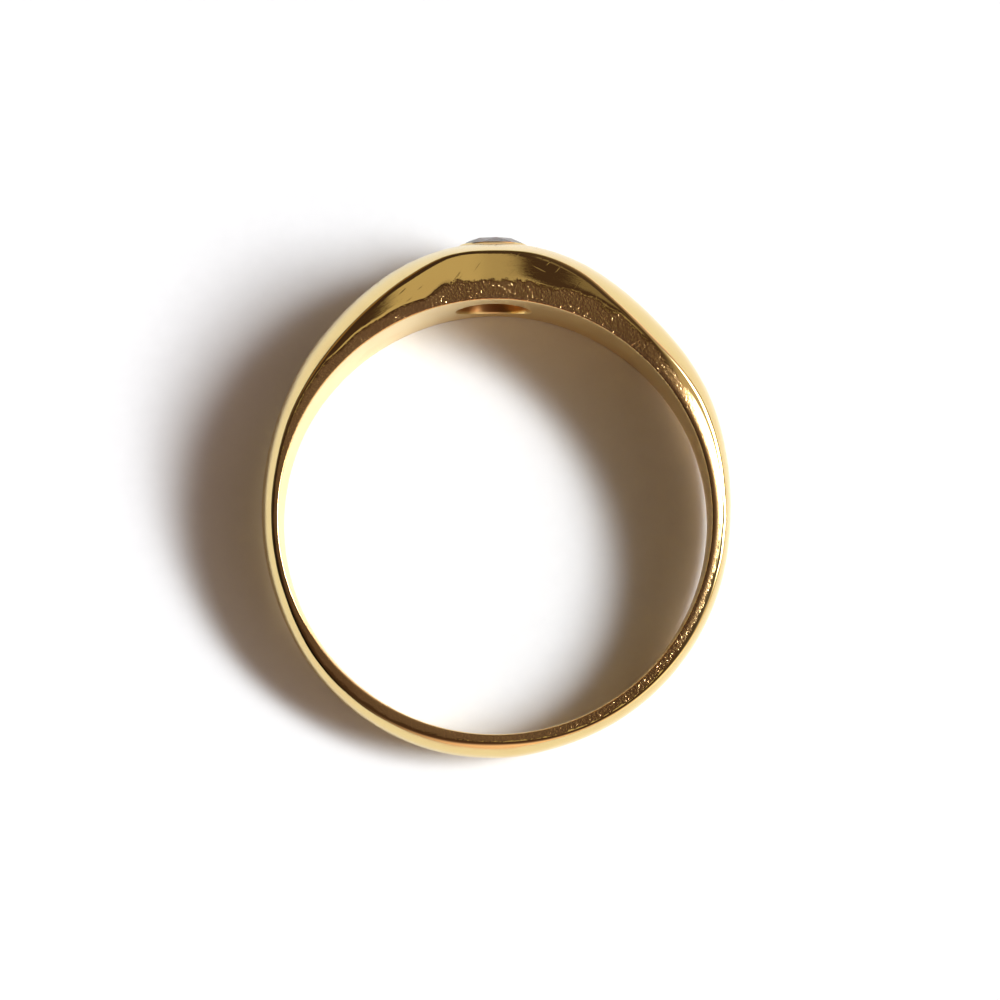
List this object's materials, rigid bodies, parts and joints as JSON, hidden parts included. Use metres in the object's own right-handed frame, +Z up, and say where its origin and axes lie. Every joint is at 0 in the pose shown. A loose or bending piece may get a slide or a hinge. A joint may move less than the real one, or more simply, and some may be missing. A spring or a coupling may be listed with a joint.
{
  "type": "flush set gypsy ring",
  "caption": "Finger ring with a slim domed shank that swells into a thick rounded head, and a round cut stone sunk into the crown of the metal.",
  "frame": {"origin": "on the surface the ring lies on, under the middle of its outline", "axes": "+Z up from the flat side face it lies on, +Y towards the head and the stone, +X to the right seen from above; the finger axis leans 4.8 degrees from +Z towards -Y because the side faces taper"},
  "size_m": [0.0196, 0.0217, 0.0061],
  "materials": {
    "gold": "polished, worn",
    "diamond": "clear, faceted"
  },
  "bodies": {
    "root": {"ring_band": "gold", "stone": "diamond"}
  },
  "joints": []
}
